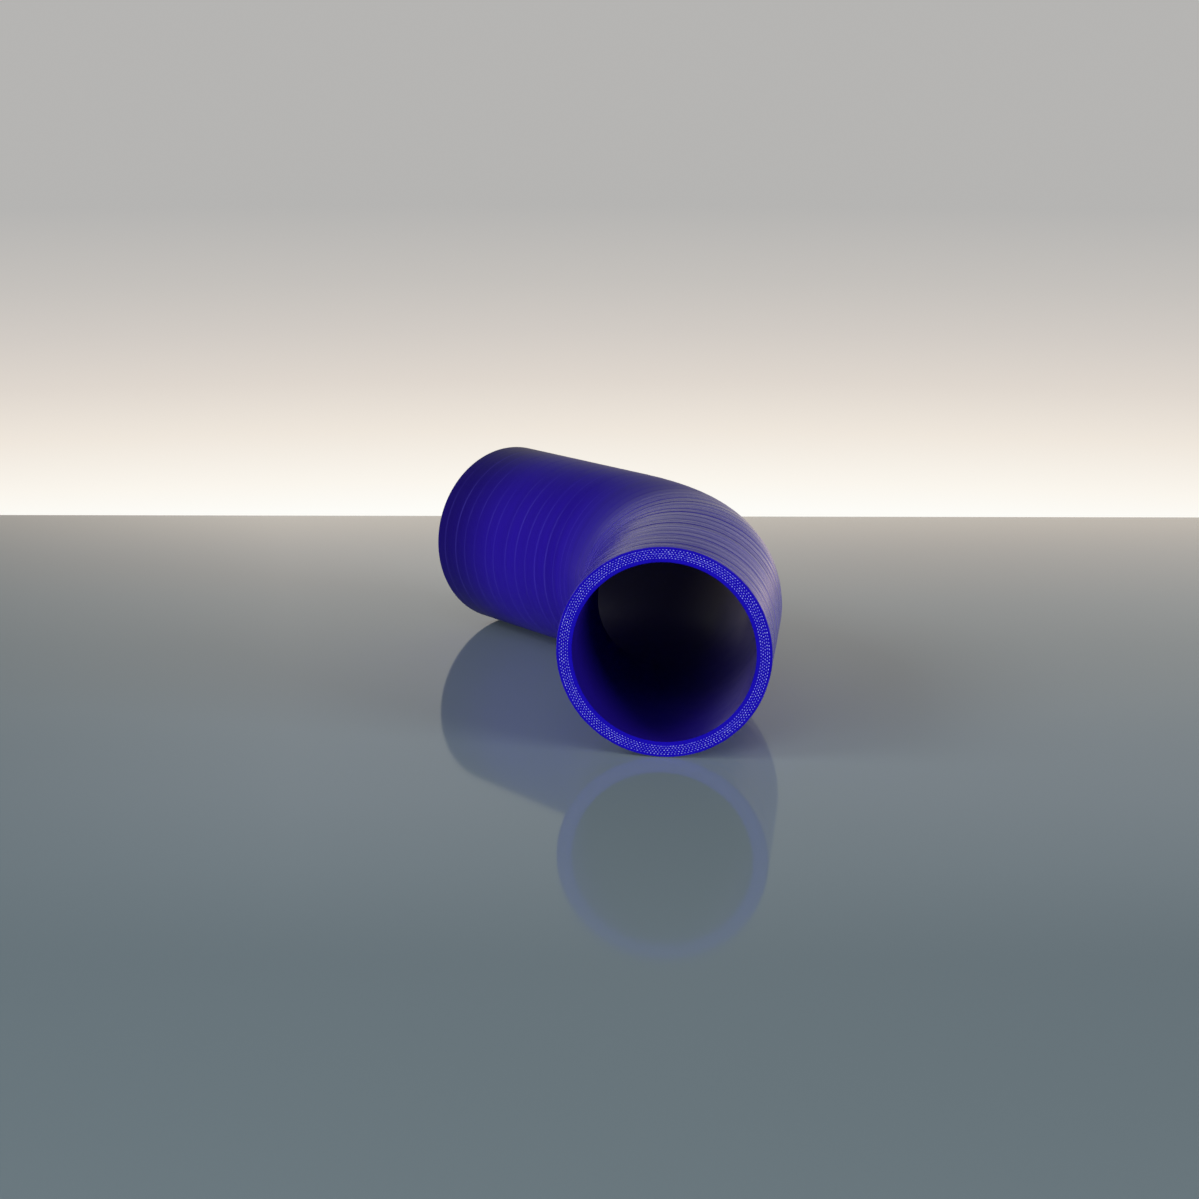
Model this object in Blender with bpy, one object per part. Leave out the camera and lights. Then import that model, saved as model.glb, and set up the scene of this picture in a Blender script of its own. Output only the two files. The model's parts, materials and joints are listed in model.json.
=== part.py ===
"""A 45 degree silicone hose elbow for an engine bay, lying on its side. Metres, +Z up.

The hose is one moulded piece: a rubber liner, plies of woven yarn and a rubber skin, cured together
over a bent former and cut square at both ends. It is built as one closed profile, up the outside and
back down the bore, that is swept round the middle line of the hose.
"""

import math

import bmesh
import bpy
from mathutils import Vector

# Bore and middle line.
BORE_DIAMETER = 0.060
BEND_ANGLE = math.radians(45)
BEND_RADIUS = 0.094
NEAR_LEG = 0.065
FAR_LEG = 0.075

# Layers of the wall, from the bore outwards.
LINER = 0.0011
PLY = 0.00067
PLIES = 5
SKIN = 0.00075

# Laps that the curing tape leaves pressed into the skin: each rises at once and slopes away.
LAP_LENGTH = 0.0065
LAP_HEIGHT = 0.0002
LAP_RISE = 0.0008

# Broken edge round each cut end.
EDGE = 0.0002

# Fineness of the mesh.
SIDES = 60
BORE_STEP = math.radians(4.5)
SHARP_ANGLE = math.radians(30)

BORE_RADIUS = BORE_DIAMETER / 2
PLIES_OUTER_RADIUS = BORE_RADIUS + LINER + PLIES * PLY
OUTER_RADIUS = PLIES_OUTER_RADIUS + SKIN
BEND_LENGTH = BEND_RADIUS * BEND_ANGLE
HOSE_LENGTH = NEAR_LEG + BEND_LENGTH + FAR_LEG
UP = Vector((0, 0, 1))

SILICONE_BLUE = (0.022, 0.010, 0.250, 1)
YARN_COLOUR = (0.330, 0.300, 0.720, 1)


def clear_scene():
    for thing in list(bpy.data.objects):
        bpy.data.objects.remove(thing, do_unlink=True)


def make_material(name, colour, roughness):
    material = bpy.data.materials.new(name)
    material.use_nodes = True
    shader = material.node_tree.nodes["Principled BSDF"]
    shader.inputs["Base Color"].default_value = colour
    shader.inputs["Roughness"].default_value = roughness
    shader.inputs["Metallic"].default_value = 0
    return material


def middle_line(distance):
    """The point on the middle line that far from the near end, and the direction of the hose there."""
    turned = min(max(distance - NEAR_LEG, 0), BEND_LENGTH) / BEND_RADIUS
    along = Vector((-math.sin(turned), math.cos(turned), 0))
    bend_point = Vector((-BEND_RADIUS * (1 - math.cos(turned)), BEND_RADIUS * math.sin(turned), 0))
    straight_near = Vector((0, min(distance, NEAR_LEG), 0))
    straight_far = along * max(distance - NEAR_LEG - BEND_LENGTH, 0)
    return straight_near + bend_point + straight_far, along


def outside_profile():
    """Distance along the hose and radius of each ring of the skin, lap by lap from near to far."""
    laps = round(HOSE_LENGTH / LAP_LENGTH)
    lap_length = HOSE_LENGTH / laps
    trough = OUTER_RADIUS - LAP_HEIGHT
    rings = [(0, OUTER_RADIUS - EDGE), (EDGE, OUTER_RADIUS)]
    for lap in range(1, laps):
        start = lap * lap_length
        rings.append((start, trough))
        rings.append((start + LAP_RISE, OUTER_RADIUS))
    rings.append((HOSE_LENGTH - EDGE, trough))
    rings.append((HOSE_LENGTH, trough - EDGE))
    return rings


def bore_profile():
    """Distance and radius of each ring of the bore, from the far end back to the near one."""
    steps = math.ceil(BEND_ANGLE / BORE_STEP)
    bend = [NEAR_LEG + BEND_LENGTH * step / steps for step in range(steps, -1, -1)]
    rings = [(HOSE_LENGTH, BORE_RADIUS + EDGE)]
    rings += [(distance, BORE_RADIUS) for distance in [HOSE_LENGTH - EDGE, *bend, EDGE]]
    rings.append((0, BORE_RADIUS + EDGE))
    return rings


def cut_face_profile(distance):
    """The two edges of the band of plies that shows on the cut end at that distance, outer one first."""
    return [(distance, PLIES_OUTER_RADIUS), (distance, BORE_RADIUS + LINER)]


def add_ring(mesh, distance, radius):
    middle, along = middle_line(distance)
    across = along.cross(UP)
    ring = []
    for side in range(SIDES):
        angle = 2 * math.pi * side / SIDES
        ring.append(mesh.verts.new(middle + radius * (math.cos(angle) * across + math.sin(angle) * UP)))
    return ring


def join_rings(mesh, first, second, slot):
    for side in range(SIDES):
        after = (side + 1) % SIDES
        face = mesh.faces.new((first[side], first[after], second[after], second[side]))
        face.material_index = slot


def hose_mesh():
    far_cut = cut_face_profile(HOSE_LENGTH)
    near_cut = cut_face_profile(0)
    profile = outside_profile() + far_cut + bore_profile() + near_cut[::-1]
    mesh = bmesh.new()
    rings = [add_ring(mesh, distance, radius) for distance, radius in profile]
    for index, ring in enumerate(rings):
        after = (index + 1) % len(rings)
        band = {profile[index], profile[after]}
        plies_show = band in (set(far_cut), set(near_cut))
        join_rings(mesh, ring, rings[after], int(plies_show))
    bmesh.ops.recalc_face_normals(mesh, faces=mesh.faces)
    data = bpy.data.meshes.new("hose_elbow")
    mesh.to_mesh(data)
    mesh.free()
    return data


def footprint_middle(data):
    xs = [vertex.co.x for vertex in data.vertices]
    ys = [vertex.co.y for vertex in data.vertices]
    return (min(xs) + max(xs)) / 2, (min(ys) + max(ys)) / 2


def make_hose():
    data = hose_mesh()
    data.materials.append(make_material("silicone", SILICONE_BLUE, 0.38))
    data.materials.append(make_material("yarn_plies", YARN_COLOUR, 0.8))
    data.shade_smooth()
    data.set_sharp_from_angle(angle=SHARP_ANGLE)
    hose = bpy.data.objects.new("hose_elbow", data)
    bpy.context.scene.collection.objects.link(hose)
    middle_x, middle_y = footprint_middle(data)
    hose.location = (-middle_x, -middle_y, OUTER_RADIUS)
    return hose


clear_scene()
make_hose()
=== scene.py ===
"""Looks of a blue silicone hose elbow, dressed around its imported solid. Metres, +Z up."""

import json
import math

import bpy
import numpy as np
from mathutils import Matrix, Vector


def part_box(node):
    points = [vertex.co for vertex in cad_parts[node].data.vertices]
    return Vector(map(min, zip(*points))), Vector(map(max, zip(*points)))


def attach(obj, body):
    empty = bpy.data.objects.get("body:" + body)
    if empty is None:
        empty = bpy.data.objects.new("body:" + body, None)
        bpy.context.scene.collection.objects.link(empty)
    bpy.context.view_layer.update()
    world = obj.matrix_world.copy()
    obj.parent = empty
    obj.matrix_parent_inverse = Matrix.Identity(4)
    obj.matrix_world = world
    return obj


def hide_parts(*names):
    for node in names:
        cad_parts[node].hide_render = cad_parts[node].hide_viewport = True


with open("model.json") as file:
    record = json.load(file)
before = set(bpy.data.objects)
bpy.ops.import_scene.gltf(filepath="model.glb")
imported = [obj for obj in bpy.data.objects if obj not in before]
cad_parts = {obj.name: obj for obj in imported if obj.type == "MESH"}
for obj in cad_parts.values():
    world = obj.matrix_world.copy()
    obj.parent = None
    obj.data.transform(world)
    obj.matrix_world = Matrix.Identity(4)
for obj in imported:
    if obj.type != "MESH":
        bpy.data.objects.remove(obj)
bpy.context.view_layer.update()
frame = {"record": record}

# The hose, as the frame gives it: its box, and the middle and direction of each cut end.
NODE = "hose_elbow"
LOW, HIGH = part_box(NODE)
OUTER_RADIUS = (HIGH.z - LOW.z) / 2
BORE_RADIUS = 0.030
BEND_RADIUS = 0.094
MOUNTS = {mount["name"]: mount for mount in frame["record"]["mounts"]}
NEAR_END = Vector(MOUNTS["near_cut_end"]["pos_m"][:2])
FAR_END = Vector(MOUNTS["far_cut_end"]["pos_m"][:2])
FAR_AXIS = Vector(MOUNTS["far_cut_end"]["axis"][:2])
BEND_ANGLE = math.atan2(-FAR_AXIS.x, FAR_AXIS.y)
BEND_LENGTH = BEND_RADIUS * BEND_ANGLE
CORNER_TO_BEND = BEND_RADIUS * math.tan(BEND_ANGLE / 2)
CORNER_AHEAD = (NEAR_END.x - FAR_END.x) / math.tan(BEND_ANGLE)
CORNER_Y = FAR_END.y - CORNER_AHEAD
NEAR_LEG = CORNER_Y - NEAR_END.y - CORNER_TO_BEND
FAR_LEG = (NEAR_END.x - FAR_END.x) / math.sin(BEND_ANGLE) - CORNER_TO_BEND
HOSE_LENGTH = NEAR_LEG + BEND_LENGTH + FAR_LEG

# Layers that show on the cut ends.
LINER = 0.0011
PLY = 0.00067
PLIES = 5
PLIES_INNER_RADIUS = BORE_RADIUS + LINER
PLIES_OUTER_RADIUS = PLIES_INNER_RADIUS + PLIES * PLY

# Fineness of the wall's mesh.
SIDES = 128
SKIN_STEP = 0.00035
BORE_STEP = 0.0035

# Marks of the curing tape: laps, and finer ridges between them.
LAP_LENGTH = 0.0065
LAP_JITTER = 0.0010
LAP_DEPTHS = (0.00003, 0.00013)
LAP_RISE = 0.0009
BOW = 0.009
BOW_ENDS = (0.060, 0.110)
BOW_START = 0.020
RIDGE_PITCH = 0.0019
RIDGE_DEPTH = 0.00014
PATCH_LENGTH = 0.011
# Width and strength of the pale line painted along each lap's edge as a highlight.
LAP_LINE_WIDTH = 0.0003
LAP_LINE_SHOWS = (0.6, 1)

# Where the marks fade out on the bend, and the share of ridges and of lap depth that stays beyond it.
SMOOTH_FROM = (0.078, 0.112)
SMOOTH_RIDGES = 0.15
SMOOTH_LAPS = 0.35

# Where the skin darkens towards the far end.
DARKER_FROM = (0.168, 0.212)

# Cut ends: radius of the rounded edges, the face's margin beside them as a share of that radius,
# and how low the face lies under the tops of the yarn ends.
EDGE = 0.00025
FACE_MARGIN = 1.9
FACE_SINK = 0.00005
EDGE_STEPS = 4
FACE_STEPS = 14

# Yarn ends: their size, the ranges that it varies in, and how far they stray from even places.
YARN_PITCH = 0.00106
YARN_HALF_LENGTH = 0.00027
YARN_HALF_WIDTH = 0.00015
YARN_LENGTHS = (0.8, 1.15)
YARN_WIDTHS = (0.8, 1.1)
YARN_TONES = (0.3, 1)
YARN_DRIFT = 0.2
YARN_STRAY = 0.05
YARN_RADIUS_STRAY = 0.000012
YARN_SIDES = 8
YARN_ROOT = 0.00003
YARN_SHOULDER = (0.75, 0.7)

# Dashes between the yarn ends, where a thread lies along the cut.
DASH_FROM = 0.55
DASH_CHANCE = 0.8
DASH_PLACES = (0.42, 0.58)
DASH_REACHES = (0.20, 0.36)
DASH_HALF_WIDTH = 0.00008
DASH_TONE = 0.45

# Colours, linear.
SILICONE = (0.021, 0.006, 0.335, 1)
SILICONE_FAR = (0.009, 0.003, 0.135, 1)
# A pale lavender: painted highlight and painted sheen on the skin, and faint scuffs in the bore.
SHEEN_AND_SCUFFS = (0.130, 0.105, 0.66, 1)
BORE = (0.015, 0.006, 0.235, 1)
CUT_RUBBER = (0.010, 0.004, 0.45, 1)
YARN_DARK = (0.02, 0.015, 0.72, 1)
YARN_PALE = (0.47, 0.48, 1.00, 1)
BOARD = (0.295, 0.380, 0.425, 1)

# Gloss of the skin, and how strongly its marks show in gloss and colour; that colour is painted highlight
# on the laps' edges and painted sheen in streaks on the near leg.
RUBBER_IOR = 1.42
SKIN_ROUGHNESS = 0.41
SKIN_GLOSS = 0.18
STREAK_GLOSS = (-0.29, -0.12)
STREAK_SHEEN = 0.48
LAP_HIGHLIGHT = (0.09, 0.25)
BAND_SHADE = 0.22
LINE_DEPTH = 0.000020
GRAIN_DEPTH = 0.000006

# Camera, as fitted to the photograph.
CAMERA_PLACE = Vector((0.09953, -0.79675, 0.21741))
CAMERA_HEADING = math.radians(7.039)
CAMERA_PITCH = math.radians(13.315)
CAMERA_ROLL = math.radians(0.1167)
CAMERA_LENS = 66.77
SENSOR_WIDTH = 36

# The board that it lies on, in the camera's heading: ahead and to each side of the camera.
BOARD_BACK = 1.101
BOARD_FRONT = -1.6
BOARD_SIDE = 1.4
BOARD_THICKNESS = 0.030
BOARD_EDGE = 0.003

UP = Vector((0, 0, 1))
NOISE_KNOTS = 4096
chance = np.random.default_rng(45)


def ease(value):
    """0 below 0 and 1 above 1, with a smooth step between."""
    value = np.clip(value, 0, 1)
    return value * value * (3 - 2 * value)


def ease_over(value, span):
    """0 below the span and 1 above it, with a smooth step between."""
    low, high = span
    return ease((value - low) / (high - low))


def middle_line(distance):
    """Points on the middle line that far from the near end, and the hose's right there."""
    distance = np.asarray(distance, float)
    turned = np.clip(distance - NEAR_LEG, 0, BEND_LENGTH) / BEND_RADIUS
    straight = np.minimum(distance, NEAR_LEG)
    beyond = np.maximum(distance - NEAR_LEG - BEND_LENGTH, 0)
    zero = np.zeros_like(distance)
    along = np.stack([-np.sin(turned), np.cos(turned), zero], -1)
    right = np.stack([np.cos(turned), np.sin(turned), zero], -1)
    x = NEAR_END.x - BEND_RADIUS * (1 - np.cos(turned))
    y = NEAR_END.y + straight + BEND_RADIUS * np.sin(turned)
    point = np.stack([x, y, zero + OUTER_RADIUS], -1) + along * beyond[..., None]
    return point, right


def hose_point(distance, angle, radius):
    point, right = middle_line(distance)
    across = right * np.cos(angle)[..., None] + np.array(UP) * np.sin(angle)[..., None]
    return point + across * np.asarray(radius)[..., None]


def smooth_noise(places, seed):
    """Smooth random values between -1 and 1 along a line, one knot for each whole number."""
    knots = np.random.default_rng(seed).uniform(-1, 1, NOISE_KNOTS)
    cell = np.floor(places).astype(int)
    share = ease(places - cell)
    return knots[cell % NOISE_KNOTS] * (1 - share) + knots[(cell + 1) % NOISE_KNOTS] * share


def bow_at(distance, angle):
    """How far forward the tape lies at the sides, where it runs bowed over the near leg."""
    return BOW * (1 - ease_over(distance, BOW_ENDS)) * np.cos(angle) ** 2


def tape_laps():
    """Start and depth of each tape lap, from beyond the near end to the far one."""
    laps = round(HOSE_LENGTH / LAP_LENGTH)
    count = laps + 4
    starts = (np.arange(count) - 3) * HOSE_LENGTH / laps
    starts = starts + chance.uniform(-LAP_JITTER, LAP_JITTER, count)
    depths = chance.uniform(*LAP_DEPTHS, count)
    return starts, depths


def lap_depth(lap, into):
    """Depth of the skin that far into a lap: it rises over the lap's edge, then slopes down to the next."""
    after = np.minimum(lap + 1, len(LAP_STARTS) - 1)
    length = np.maximum(LAP_STARTS[after] - LAP_STARTS[lap], LAP_RISE * 2)
    rise = LAP_EDGE_DEPTHS[lap] * (1 - ease(into / LAP_RISE))
    slope = LAP_EDGE_DEPTHS[after] * np.clip((into - LAP_RISE) / (length - LAP_RISE), 0, 1) ** 1.5
    return np.where(into < LAP_RISE, rise, slope)


def ridge_share(place, angle):
    """Share of the ridges' full depth there: they wander round the hose and come in patches."""
    wander = 0.4 * np.sin(angle + 1.3) + 0.3 * np.sin(2 * angle + 0.4)
    ridges = smooth_noise(place / RIDGE_PITCH * 2 + wander, 7)
    ridges = ridges + 0.5 * smooth_noise(place / RIDGE_PITCH * 4.3 - wander, 8)
    patches = 0.65 + 0.35 * smooth_noise(place / PATCH_LENGTH + 1.7 * np.sin(angle * 2 + 0.8), 9)
    return patches * (0.5 + ridges / 3)


def tape_marks(distance, angle):
    """Depth of the skin below its full radius, and how strongly the painted highlight on a lap's edge shows
    there.
    """
    place = distance - bow_at(distance, angle)
    lap = np.searchsorted(LAP_STARTS, place) - 1
    into = place - LAP_STARTS[lap]
    strength = 1 - (1 - SMOOTH_RIDGES) * ease_over(distance, SMOOTH_FROM)
    depth = lap_depth(lap, into) * (SMOOTH_LAPS + (1 - SMOOTH_LAPS) * strength)
    depth = depth + RIDGE_DEPTH * strength * ridge_share(place, angle)
    mark = np.exp(-((into - LAP_RISE * 0.5) / LAP_LINE_WIDTH) ** 2) * LAP_LINES[lap]
    return np.maximum(depth, 0), mark


def wall_rings():
    """Rows of the closed profile: distance, radius, strength of the painted highlight on a lap's edge, and
    the kind of surface.
    """
    angles = np.arange(SIDES) * 2 * math.pi / SIDES
    rows = []

    def add(distance, radius, kind):
        spread = np.zeros(SIDES)
        rows.append((spread + distance, spread + radius, spread, kind))

    def add_edge(turns, far, radius, rounding, kind):
        for turn in turns:
            set_back = EDGE * (1 - math.sin(turn))
            add(HOSE_LENGTH - set_back if far else set_back, radius + rounding * (1 - math.cos(turn)), kind)

    def skin_radius(distance):
        return OUTER_RADIUS - tape_marks(np.full(SIDES, distance), angles)[0]

    turns = [math.pi / 2 * step / EDGE_STEPS for step in range(EDGE_STEPS)]
    add_edge(turns, False, skin_radius(EDGE), -EDGE, "skin")
    rows.reverse()
    steps = round((HOSE_LENGTH - 2 * EDGE) / SKIN_STEP)
    for step in range(1, steps):
        even = EDGE + (HOSE_LENGTH - 2 * EDGE) * step / steps
        from_end = np.minimum(even, HOSE_LENGTH - even) / BOW_START
        distance = even + bow_at(even, angles) * ease(from_end)
        depth, mark = tape_marks(distance, angles)
        rows.append((distance, OUTER_RADIUS - depth, mark, "skin"))
    add_edge(turns, True, skin_radius(HOSE_LENGTH - EDGE), -EDGE, "skin")
    face = face_radii()
    for radius in face:
        add(HOSE_LENGTH - FACE_SINK, radius, "cut")
    add_edge(turns[::-1], True, BORE_RADIUS, EDGE, "cut")
    bore_steps = round((HOSE_LENGTH - 2 * EDGE) / BORE_STEP)
    for step in range(bore_steps - 1, 0, -1):
        add(EDGE + (HOSE_LENGTH - 2 * EDGE) * step / bore_steps, BORE_RADIUS, "bore")
    add_edge(turns, False, BORE_RADIUS, EDGE, "cut")
    for radius in face[::-1]:
        add(FACE_SINK, radius, "cut")
    return angles, rows


def face_radii():
    outer = OUTER_RADIUS - EDGE * FACE_MARGIN
    inner = BORE_RADIUS + EDGE * FACE_MARGIN
    return [outer + (inner - outer) * step / FACE_STEPS for step in range(FACE_STEPS + 1)]


def closed_grid(name, points, kinds, kind_order):
    """A mesh whose rows and columns both run on from their last to their first."""
    count, sides = points.shape[:2]
    corner = np.arange(count * sides).reshape(count, sides)
    next_row = np.roll(corner, -1, 0)
    quads = np.stack([corner, next_row, np.roll(next_row, -1, 1), np.roll(corner, -1, 1)], -1)
    mesh = bpy.data.meshes.new(name)
    mesh.from_pydata(points.reshape(-1, 3).tolist(), [], quads.reshape(-1, 4).tolist())
    slots = np.repeat([kind_order.index(kind) for kind in kinds], sides)
    mesh.polygons.foreach_set("material_index", slots.astype(np.int32))
    mesh.shade_smooth()
    return mesh


def point_value(mesh, name, values, kind="FLOAT", field="value"):
    attribute = mesh.attributes.new(name, kind, "POINT")
    attribute.data.foreach_set(field, np.asarray(values, np.float32).ravel())


def link(name, mesh):
    piece = bpy.data.objects.new(name, mesh)
    bpy.context.scene.collection.objects.link(piece)
    return piece


def make_wall(materials):
    angles, rows = wall_rings()
    distance = np.stack([row[0] for row in rows])
    radius = np.stack([row[1] for row in rows])
    mark = np.stack([row[2] for row in rows])
    around = np.broadcast_to(angles, distance.shape)
    points = hose_point(distance, around, radius)
    kinds = [row[3] for row in rows]
    mesh = closed_grid("hose_wall", points, kinds, list(materials))
    for material in materials.values():
        mesh.materials.append(material)
    place = distance - bow_at(distance, around)
    straight = np.stack([place, radius * np.cos(around), radius * np.sin(around)], -1)
    point_value(mesh, "straight", straight, "FLOAT_VECTOR", "vector")
    # Where the painted highlight lies along each lap's edge.
    point_value(mesh, "lap_highlight", mark)
    point_value(mesh, "far_shade", ease_over(distance, DARKER_FROM))
    # The near leg, where painted sheen streaks the colour and the gloss varies.
    point_value(mesh, "near_sheen_and_gloss", 1 - ease_over(distance, SMOOTH_FROM))
    return link("hose_wall", mesh)


def yarn_places(row):
    """Angle, half length, half width and tone of each yarn end and dash along one ply."""
    radius = PLIES_INNER_RADIUS + (row + 0.5) * PLY
    count = round(math.pi * (PLIES_INNER_RADIUS + PLIES_OUTER_RADIUS) / YARN_PITCH)
    pitch = 2 * math.pi / count
    places = []
    for step in range(count):
        turn = step * pitch
        drift = YARN_DRIFT * float(smooth_noise(np.array(turn * 2.1 + row * 3.7), 30 + row))
        angle = turn + (row * 0.5 + drift + chance.uniform(-YARN_STRAY, YARN_STRAY)) * pitch
        woven = float(smooth_noise(np.array(turn * 3.2 + row * 0.8), 20 + row))
        tone = chance.uniform(*YARN_TONES)
        spot = radius + chance.normal(0, YARN_RADIUS_STRAY)
        length = YARN_HALF_LENGTH * chance.uniform(*YARN_LENGTHS)
        width = YARN_HALF_WIDTH * chance.uniform(*YARN_WIDTHS)
        places.append((angle, spot, length, width, tone))
        if woven > DASH_FROM and chance.uniform() < DASH_CHANCE:
            between = angle + pitch * chance.uniform(*DASH_PLACES)
            reach = pitch * radius * chance.uniform(*DASH_REACHES)
            places.append((between, spot, reach, DASH_HALF_WIDTH, tone * DASH_TONE))
    return places


def dome(angle, radius, half_length, half_width):
    """Points of one low dome on a cut face, as distance up from it, angle round the bore and radius."""
    turns = np.arange(YARN_SIDES) * 2 * math.pi / YARN_SIDES
    points = []
    shoulder, rise = YARN_SHOULDER
    for share, height in ((1, -YARN_ROOT), (shoulder, FACE_SINK * rise)):
        for turn in turns:
            along = half_length * share * math.cos(turn) / radius
            points.append((height, angle + along, radius + half_width * share * math.sin(turn)))
    points.append((FACE_SINK, angle, radius))
    return points


def dome_faces(first):
    faces = []
    top = first + 2 * YARN_SIDES
    for side in range(YARN_SIDES):
        after = (side + 1) % YARN_SIDES
        low, low_after = first + side, first + after
        high, high_after = low + YARN_SIDES, low_after + YARN_SIDES
        faces.append((low, low_after, high_after, high))
        faces.append((high, high_after, top))
    faces.append(tuple(first + side for side in range(YARN_SIDES - 1, -1, -1)))
    return faces


def make_yarn_ends(name, far, material):
    points = []
    faces = []
    tones = []
    for row in range(PLIES):
        for angle, radius, half_length, half_width, tone in yarn_places(row):
            faces += dome_faces(len(points))
            added = dome(angle, radius, half_length, half_width)
            points += added
            tones += [tone] * len(added)
    height, angle, radius = np.array(points).T
    face_at = HOSE_LENGTH - FACE_SINK if far else FACE_SINK
    distance = face_at + height if far else face_at - height
    mesh = bpy.data.meshes.new(name)
    vertices = hose_point(distance, angle, radius)
    mesh.from_pydata(vertices.tolist(), [], faces if far else [face[::-1] for face in faces])
    mesh.shade_smooth()
    mesh.materials.append(material)
    point_value(mesh, "tone", tones)
    return link(name, mesh)


class Nodes:
    """A material's or the world's node tree, with short ways to add to it."""

    def __init__(self, tree):
        self.tree = tree

    def add(self, kind, settings=None, **inputs):
        made = self.tree.nodes.new(kind)
        for setting, value in (settings or {}).items():
            setattr(made, setting, value)
        for name, value in inputs.items():
            self.put(made.inputs[name.replace("_", " ")], value)
        return made

    def put(self, socket, value):
        if isinstance(value, bpy.types.NodeSocket):
            self.tree.links.new(value, socket)
        else:
            socket.default_value = value

    def maths(self, operation, *values):
        made = self.tree.nodes.new("ShaderNodeMath")
        made.operation = operation
        for socket, value in zip(made.inputs, values):
            self.put(socket, value)
        return made.outputs[0]

    def mix(self, share, first, second):
        made = self.tree.nodes.new("ShaderNodeMix")
        made.data_type = "RGBA"
        self.put(made.inputs[0], share)
        self.put(made.inputs[6], first)
        self.put(made.inputs[7], second)
        return made.outputs[2]

    def read(self, attribute):
        made = self.tree.nodes.new("ShaderNodeAttribute")
        made.attribute_name = attribute
        return made

    def between(self, value, from_low, from_high, to_low, to_high):
        made = self.add("ShaderNodeMapRange")
        for socket, number in zip(made.inputs, (value, from_low, from_high, to_low, to_high)):
            self.put(socket, number)
        return made.outputs[0]

    def noise(self, place, size, detail=2, roughness=0.5):
        """Noise whose grains have that size along each of the place's axes."""
        scale = Vector((1 / size[0], 1 / size[1], 1 / size[2]))
        mapped = self.add("ShaderNodeMapping", Vector=place, Scale=scale)
        made = self.add("ShaderNodeTexNoise", Vector=mapped.outputs[0], Scale=1.0, Detail=detail)
        made.inputs["Roughness"].default_value = roughness
        return made.outputs[0]

    def bump(self, height, depth, over=None):
        made = self.add("ShaderNodeBump", Height=height, Distance=depth, Strength=1.0)
        if over is not None:
            self.put(made.inputs["Normal"], over)
        return made.outputs[0]


def new_material(name):
    material = bpy.data.materials.new(name)
    material.use_nodes = True
    nodes = Nodes(material.node_tree)
    return material, nodes, material.node_tree.nodes["Principled BSDF"]


def skin_material():
    """Satin silicone, with long fine lines round the hose, a painted highlight on the laps' edges and
    painted sheen in streaks over the near leg.
    """
    material, nodes, shader = new_material("silicone_skin")
    straight = nodes.read("straight").outputs["Vector"]
    lap_highlight = nodes.read("lap_highlight").outputs["Fac"]
    streaks = nodes.noise(straight, (0.0011, 0.045, 0.045), 3, 0.6)
    clouds = nodes.noise(straight, (0.012, 0.020, 0.020), 3)
    sheen_streaks = nodes.noise(straight, (0.0009, 0.060, 0.060), 3, 0.65)
    lines = nodes.noise(straight, (0.00035, 0.030, 0.030), 2)
    near_sheen_and_gloss = nodes.read("near_sheen_and_gloss").outputs["Fac"]
    grain = nodes.noise(straight, (0.00030, 0.00030, 0.00030), 2)
    banded = nodes.noise(straight, (0.0045, 0.080, 0.080), 2)
    # Painted highlight along the laps' edges.
    on_laps = nodes.maths("MULTIPLY", lap_highlight, nodes.between(clouds, 0.35, 0.65, *LAP_HIGHLIGHT))
    # Painted sheen in streaks over the near leg.
    streak_sheen = nodes.maths("MULTIPLY", near_sheen_and_gloss, nodes.between(sheen_streaks, 0.36, 0.64, 0, STREAK_SHEEN))
    painted_highlight_and_sheen = nodes.maths("MAXIMUM", on_laps, streak_sheen)
    bands = nodes.between(banded, 0.35, 0.65, 0, BAND_SHADE)
    shade = nodes.maths("MAXIMUM", nodes.read("far_shade").outputs["Fac"], bands)
    rubber_colour = nodes.mix(shade, SILICONE, SILICONE_FAR)
    # The painted highlight and sheen are mixed into the rubber's colour.
    nodes.put(shader.inputs["Base Color"], nodes.mix(painted_highlight_and_sheen, rubber_colour, SHEEN_AND_SCUFFS))
    glossier = nodes.maths("MULTIPLY", near_sheen_and_gloss, nodes.between(streaks, 0.38, 0.62, *STREAK_GLOSS))
    nodes.put(shader.inputs["Roughness"], nodes.maths("ADD", glossier, SKIN_ROUGHNESS))
    shader.inputs["Specular IOR Level"].default_value = SKIN_GLOSS
    rubber = nodes.bump(grain, GRAIN_DEPTH)
    nodes.put(shader.inputs["Normal"], nodes.bump(lines, LINE_DEPTH, rubber))
    shader.inputs["IOR"].default_value = RUBBER_IOR
    return material


def bore_material():
    """Smooth moulded silicone, with a few faint scuffs."""
    material, nodes, shader = new_material("silicone_bore")
    straight = nodes.read("straight").outputs["Vector"]
    scuffs = nodes.noise(straight, (0.006, 0.0007, 0.0007), 4, 0.7)
    clouds = nodes.noise(straight, (0.015, 0.015, 0.015), 3)
    share = nodes.maths("MULTIPLY", nodes.between(scuffs, 0.62, 0.75, 0, 0.16),
                        nodes.between(clouds, 0.5, 0.62, 0, 1))
    nodes.put(shader.inputs["Base Color"], nodes.mix(share, BORE, SHEEN_AND_SCUFFS))
    nodes.put(shader.inputs["Roughness"], nodes.between(clouds, 0.3, 0.7, 0.34, 0.46))
    nodes.put(shader.inputs["Normal"], nodes.bump(clouds, 0.00006))
    shader.inputs["IOR"].default_value = RUBBER_IOR
    shader.inputs["Specular IOR Level"].default_value = 0.35
    return material


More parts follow.
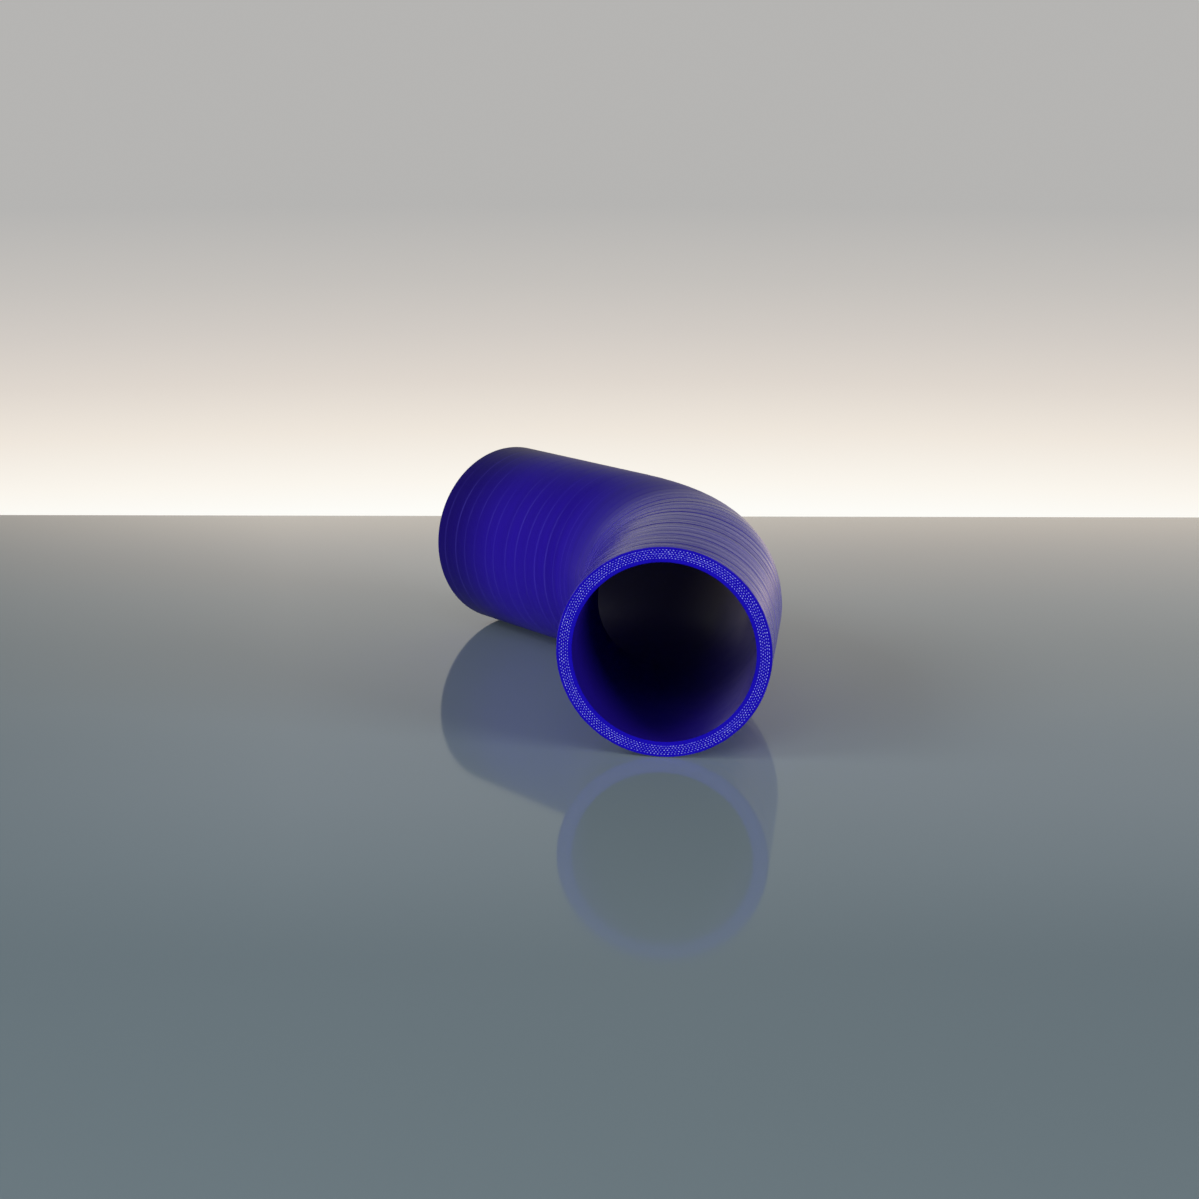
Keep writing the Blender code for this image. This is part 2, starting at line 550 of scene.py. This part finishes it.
def cut_material():
    """Matt rubber where the knife went through."""
    material, nodes, shader = new_material("silicone_cut")
    straight = nodes.read("straight").outputs["Vector"]
    grain = nodes.noise(straight, (0.0003, 0.0003, 0.0003), 3, 0.6)
    clouds = nodes.noise(straight, (0.006, 0.006, 0.006), 2)
    darker = (CUT_RUBBER[0] * 0.75, CUT_RUBBER[1] * 0.75, CUT_RUBBER[2] * 0.78, 1)
    share = nodes.maths("MULTIPLY", nodes.between(grain, 0.3, 0.7, 0, 1),
                        nodes.between(clouds, 0.3, 0.7, 0.3, 1))
    nodes.put(shader.inputs["Base Color"], nodes.mix(share, CUT_RUBBER, darker))
    nodes.put(shader.inputs["Normal"], nodes.bump(grain, 0.00003))
    shader.inputs["Roughness"].default_value = 0.6
    shader.inputs["Specular IOR Level"].default_value = 0.15
    shader.inputs["IOR"].default_value = RUBBER_IOR
    return material


def yarn_material():
    """Cut ends of pale yarn, each of its own tone."""
    material, nodes, shader = new_material("cut_yarn")
    tone = nodes.read("tone").outputs["Fac"]
    place = nodes.add("ShaderNodeNewGeometry").outputs["Position"]
    fibres = nodes.noise(place, (0.00008, 0.00008, 0.00008), 2)
    nodes.put(shader.inputs["Base Color"], nodes.mix(tone, YARN_DARK, YARN_PALE))
    nodes.put(shader.inputs["Normal"], nodes.bump(fibres, 0.00002))
    shader.inputs["Roughness"].default_value = 0.7
    return material


def board_material():
    """Smooth lacquer, pale blue grey."""
    material, nodes, shader = new_material("pale_lacquer")
    place = nodes.add("ShaderNodeNewGeometry").outputs["Position"]
    clouds = nodes.noise(place, (0.12, 0.12, 0.12), 2)
    shader.inputs["Base Color"].default_value = BOARD
    nodes.put(shader.inputs["Roughness"], nodes.between(clouds, 0.3, 0.7, 0.05, 0.08))
    shader.inputs["IOR"].default_value = 1.5
    shader.inputs["Specular IOR Level"].default_value = 0.30
    return material


def ahead_of_camera(right, ahead, height):
    """A place given by how far right and ahead of the camera it lies, in the camera's heading."""
    turn = Matrix.Rotation(CAMERA_HEADING, 3, "Z")
    ground = Vector((CAMERA_PLACE.x, CAMERA_PLACE.y, 0))
    return ground + turn @ Vector((right, ahead, height))


def make_board():
    outline = []
    rounding = (
        (0, 0),
        (-BOARD_EDGE * 0.3, BOARD_EDGE * 0.7),
        (-BOARD_EDGE, BOARD_EDGE),
        (-BOARD_THICKNESS, BOARD_EDGE),
    )
    for height, outset in rounding:
        side = BOARD_SIDE + outset
        front = BOARD_FRONT - outset
        back = BOARD_BACK + outset
        corners = ((-side, front), (side, front), (side, back), (-side, back))
        outline.append([ahead_of_camera(right, ahead, height) for right, ahead in corners])
    points = [corner for ring in outline for corner in ring]
    faces = [(0, 1, 2, 3)]
    for ring in range(len(outline) - 1):
        for side in range(4):
            after = (side + 1) % 4
            low, high = 4 * (ring + 1), 4 * ring
            faces.append((low + side, low + after, high + after, high + side))
    last = 4 * (len(outline) - 1)
    faces.append((last + 3, last + 2, last + 1, last))
    mesh = bpy.data.meshes.new("board")
    mesh.from_pydata(points, [], faces)
    mesh.materials.append(board_material())
    return link("board", mesh)


# Light of the pale wall behind the board: heights above the board, and the colour there.
WALL_LIGHT = (
    (-0.020, (1.22, 1.00, 0.82)),
    (0.006, (1.15, 0.95, 0.78)),
    (0.020, (1.00, 0.86, 0.74)),
    (0.045, (0.80, 0.73, 0.66)),
    (0.069, (0.67, 0.62, 0.565)),
    (0.093, (0.58, 0.545, 0.51)),
    (0.118, (0.50, 0.49, 0.49)),
    (0.150, (0.46, 0.46, 0.48)),
    (0.190, (0.33, 0.34, 0.36)),
    (0.240, (0.09, 0.09, 0.10)),
    (0.320, (0.05, 0.05, 0.05)),
    (0.700, (0.04, 0.04, 0.04)),
)

# How far the bright wall reaches to each side of the camera's heading, the share of it that fades out
# at its left, and the gap between it and the board.
WALL_REACH = (-0.55, 1.40)
WALL_FADE = 0.2
WALL_GAP = 0.004

# The same wall as the camera sees it: how steeply it looks down, and the colour there.
WALL_SEEN = (
    (-0.190, (0.99, 0.98, 0.935)),
    (-0.178, (0.965, 0.925, 0.855)),
    (-0.156, (0.865, 0.80, 0.72)),
    (-0.134, (0.74, 0.68, 0.62)),
    (-0.112, (0.64, 0.598, 0.558)),
    (-0.090, (0.557, 0.533, 0.506)),
    (-0.057, (0.465, 0.459, 0.449)),
)

# The rest of the room: its colour, and the light that it sheds.
ROOM_COLOUR = (0.95, 0.98, 1.0, 1)
ROOM_LIGHT = 0.03
LAMP_DISTANCE = 2.0


def fill_ramp(nodes, value, stops):
    """A colour that follows the stops, each a value and its colour."""
    low, high = stops[0][0], stops[-1][0]
    ramp = nodes.add("ShaderNodeValToRGB", Fac=nodes.between(value, low, high, 0, 1))
    points = ramp.color_ramp.elements
    while len(points) < len(stops):
        points.new(0.5)
    for point, (place, colour) in zip(points, stops):
        point.position = (place - low) / (high - low)
        point.color = (*colour, 1)
    return ramp.outputs[0]


def make_wall_light():
    """A card that glows as the wall does, for light and reflections only."""
    material = bpy.data.materials.new("wall_glow")
    material.use_nodes = True
    tree = material.node_tree
    tree.nodes.clear()
    nodes = Nodes(tree)
    place = nodes.add("ShaderNodeNewGeometry").outputs["Position"]
    height = nodes.add("ShaderNodeSeparateXYZ", Vector=place).outputs["Z"]
    across = nodes.add("ShaderNodeTexCoord").outputs["Generated"]
    from_left = nodes.add("ShaderNodeSeparateXYZ", Vector=across).outputs["X"]
    strength = nodes.between(from_left, 0, WALL_FADE, 0, 1)
    glow = nodes.add("ShaderNodeEmission", Color=fill_ramp(nodes, height, WALL_LIGHT), Strength=strength)
    out = nodes.add("ShaderNodeOutputMaterial")
    tree.links.new(glow.outputs[0], out.inputs["Surface"])
    low, high = WALL_LIGHT[0][0], WALL_LIGHT[-1][0]
    left, right = WALL_REACH
    corners = [(left, low), (right, low), (right, high), (left, high)]
    points = [ahead_of_camera(side, BOARD_BACK + WALL_GAP, height) for side, height in corners]
    mesh = bpy.data.meshes.new("wall_glow")
    mesh.from_pydata(points, [], [(0, 1, 2, 3)])
    mesh.materials.append(material)
    card = link("wall_glow", mesh)
    card.visible_camera = False
    card.visible_shadow = False
    return card


def make_world():
    world = bpy.data.worlds.new("room")
    bpy.context.scene.world = world
    world.use_nodes = True
    tree = world.node_tree
    tree.nodes.clear()
    nodes = Nodes(tree)
    direction = nodes.add("ShaderNodeTexCoord").outputs["Generated"]
    climb = nodes.add("ShaderNodeSeparateXYZ", Vector=direction).outputs["Z"]
    seen = nodes.add("ShaderNodeBackground", Color=fill_ramp(nodes, climb, WALL_SEEN), Strength=1.0)
    path = nodes.add("ShaderNodeLightPath")
    room = nodes.add("ShaderNodeBackground", Color=ROOM_COLOUR, Strength=ROOM_LIGHT)
    both = nodes.add("ShaderNodeMixShader", Fac=path.outputs["Is Camera Ray"])
    tree.links.new(room.outputs[0], both.inputs[1])
    tree.links.new(seen.outputs[0], both.inputs[2])
    out = nodes.add("ShaderNodeOutputWorld")
    tree.links.new(both.outputs[0], out.inputs["Surface"])


def make_lamp(name, azimuth, height, size, light):
    """A soft lamp, azimuth degrees to the right of -Y and height degrees up, as seen from the hose."""
    lamp = bpy.data.lights.new(name, "AREA")
    lamp.shape = "RECTANGLE"
    lamp.size, lamp.size_y = size
    lamp.energy = light * (math.pi * LAMP_DISTANCE) ** 2
    holder = bpy.data.objects.new(name, lamp)
    bpy.context.scene.collection.objects.link(holder)
    turn, climb = math.radians(azimuth), math.radians(height)
    level = math.cos(climb)
    direction = Vector((math.sin(turn) * level, -math.cos(turn) * level, math.sin(climb)))
    holder.location = direction * LAMP_DISTANCE + UP * OUTER_RADIUS
    holder.rotation_euler = direction.to_track_quat("Z", "Y").to_euler()
    holder.visible_camera = False
    holder.visible_glossy = False


def make_camera():
    data = bpy.data.cameras.new("camera")
    data.lens = CAMERA_LENS
    data.sensor_width = SENSOR_WIDTH
    data.clip_start = 0.01
    camera = bpy.data.objects.new("camera", data)
    bpy.context.scene.collection.objects.link(camera)
    heading = Matrix.Rotation(CAMERA_HEADING, 4, "Z")
    tilt = Matrix.Rotation(math.pi / 2 - CAMERA_PITCH, 4, "X")
    roll = Matrix.Rotation(CAMERA_ROLL, 4, "Z")
    camera.matrix_world = Matrix.Translation(CAMERA_PLACE) @ heading @ tilt @ roll
    bpy.context.scene.camera = camera


LAP_STARTS, LAP_EDGE_DEPTHS = tape_laps()
LAP_LINES = chance.uniform(*LAP_LINE_SHOWS, len(LAP_STARTS))

bpy.context.scene.view_settings.view_transform = "Standard"
make_camera()
make_world()
make_lamp("left_key", azimuth=-33, height=8, size=(1.30, 0.65), light=0.66)
make_lamp("right_key", azimuth=64, height=10, size=(1.00, 0.65), light=0.60)
make_lamp("left_high", azimuth=-65, height=36, size=(1.00, 0.65), light=0.21)
make_lamp("front_high", azimuth=0, height=50, size=(1.00, 0.65), light=0.07)

make_board()
make_wall_light()

wall = make_wall({"skin": skin_material(), "cut": cut_material(), "bore": bore_material()})
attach(wall, "root")
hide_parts(NODE)

yarn = yarn_material()
for name, far in (("near_yarn_ends", False), ("far_yarn_ends", True)):
    ends = make_yarn_ends(name, far, yarn)
    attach(ends, "root")
    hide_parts(NODE)
